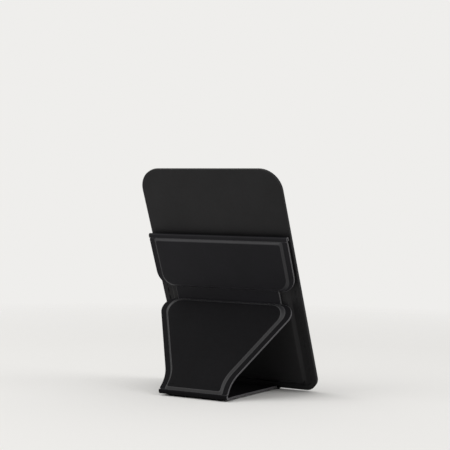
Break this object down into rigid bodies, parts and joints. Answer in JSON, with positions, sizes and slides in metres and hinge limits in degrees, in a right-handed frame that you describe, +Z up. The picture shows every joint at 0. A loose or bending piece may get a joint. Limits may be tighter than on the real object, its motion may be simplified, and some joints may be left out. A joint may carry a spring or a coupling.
{
  "type": "folding stick-on card holder with stand",
  "caption": "Thin stick-on card pocket in black coated leather, with a hinged flap, leg and base that fold out into a stand and fold flat over the pocket.",
  "frame": {"origin": "on the floor, under the middle of the part as it stands open", "axes": "+Z up, +X across the part's width, -Y towards the foot of the stand, +Y towards the face that sticks"},
  "size_m": [0.065, 0.0462, 0.0902],
  "materials": {
    "leather": "satin, fine grain",
    "lining": "matte, fine grain",
    "board": "matte",
    "steel": "plated",
    "adhesive": "satin film",
    "thread": "twisted thread"
  },
  "bodies": {
    "backing": {"adhesive_pad": "adhesive", "backing_liner": "lining", "backing_board": "board", "backing_skin": "leather", "pocket_front": "leather", "pocket_lining": "lining", "catch_plate": "steel", "seam_thread": "thread", "mouth_fold_web": "leather", "bottom_fold_web": "leather"},
    "flap": {"flap_lining": "lining", "flap_skin": "leather", "flap_board": "board", "flap_magnet_left": "steel", "flap_magnet_right": "steel"},
    "spine": {"spine_lining": "lining", "spine_skin": "leather"},
    "leg": {"leg_lining": "lining", "leg_skin": "leather", "leg_board": "board", "leg_magnet_left": "steel", "leg_magnet_right": "steel"},
    "base": {"base_lining": "lining", "base_skin": "leather", "base_board": "board", "foot_fold_web": "leather"}
  },
  "joints": [
    {"name": "mouth_fold", "type": "hinge", "parent": "backing", "child": "flap", "pos_m": [0, -0.00646, 0.06333], "axis": [-1, 0, 0], "range_deg": [0, 180], "deforming": ["mouth_fold_web"]},
    {"name": "spine_fold", "type": "hinge", "parent": "flap", "child": "spine", "pos_m": [0, 0.0025, 0.04182], "axis": [-1, 0, 0], "range_deg": [-180, 0]},
    {"name": "leg_fold", "type": "hinge", "parent": "spine", "child": "leg", "pos_m": [0, 0.00405, 0.03662], "axis": [-1, 0, 0], "range_deg": [-60.37, 0]},
    {"name": "foot_fold", "type": "hinge", "parent": "leg", "child": "base", "pos_m": [0, -0.02347, 0.00109], "axis": [-1, 0, 0], "range_deg": [0, 127.77], "deforming": ["foot_fold_web"]}
  ],
  "couplings": [
    {"joint": "spine_fold", "follows": "mouth_fold", "ratio": -1},
    {"joint": "leg_fold", "follows": "mouth_fold", "ratio": -0.33536},
    {"joint": "foot_fold", "follows": "mouth_fold", "ratio": 0.7098}
  ]
}
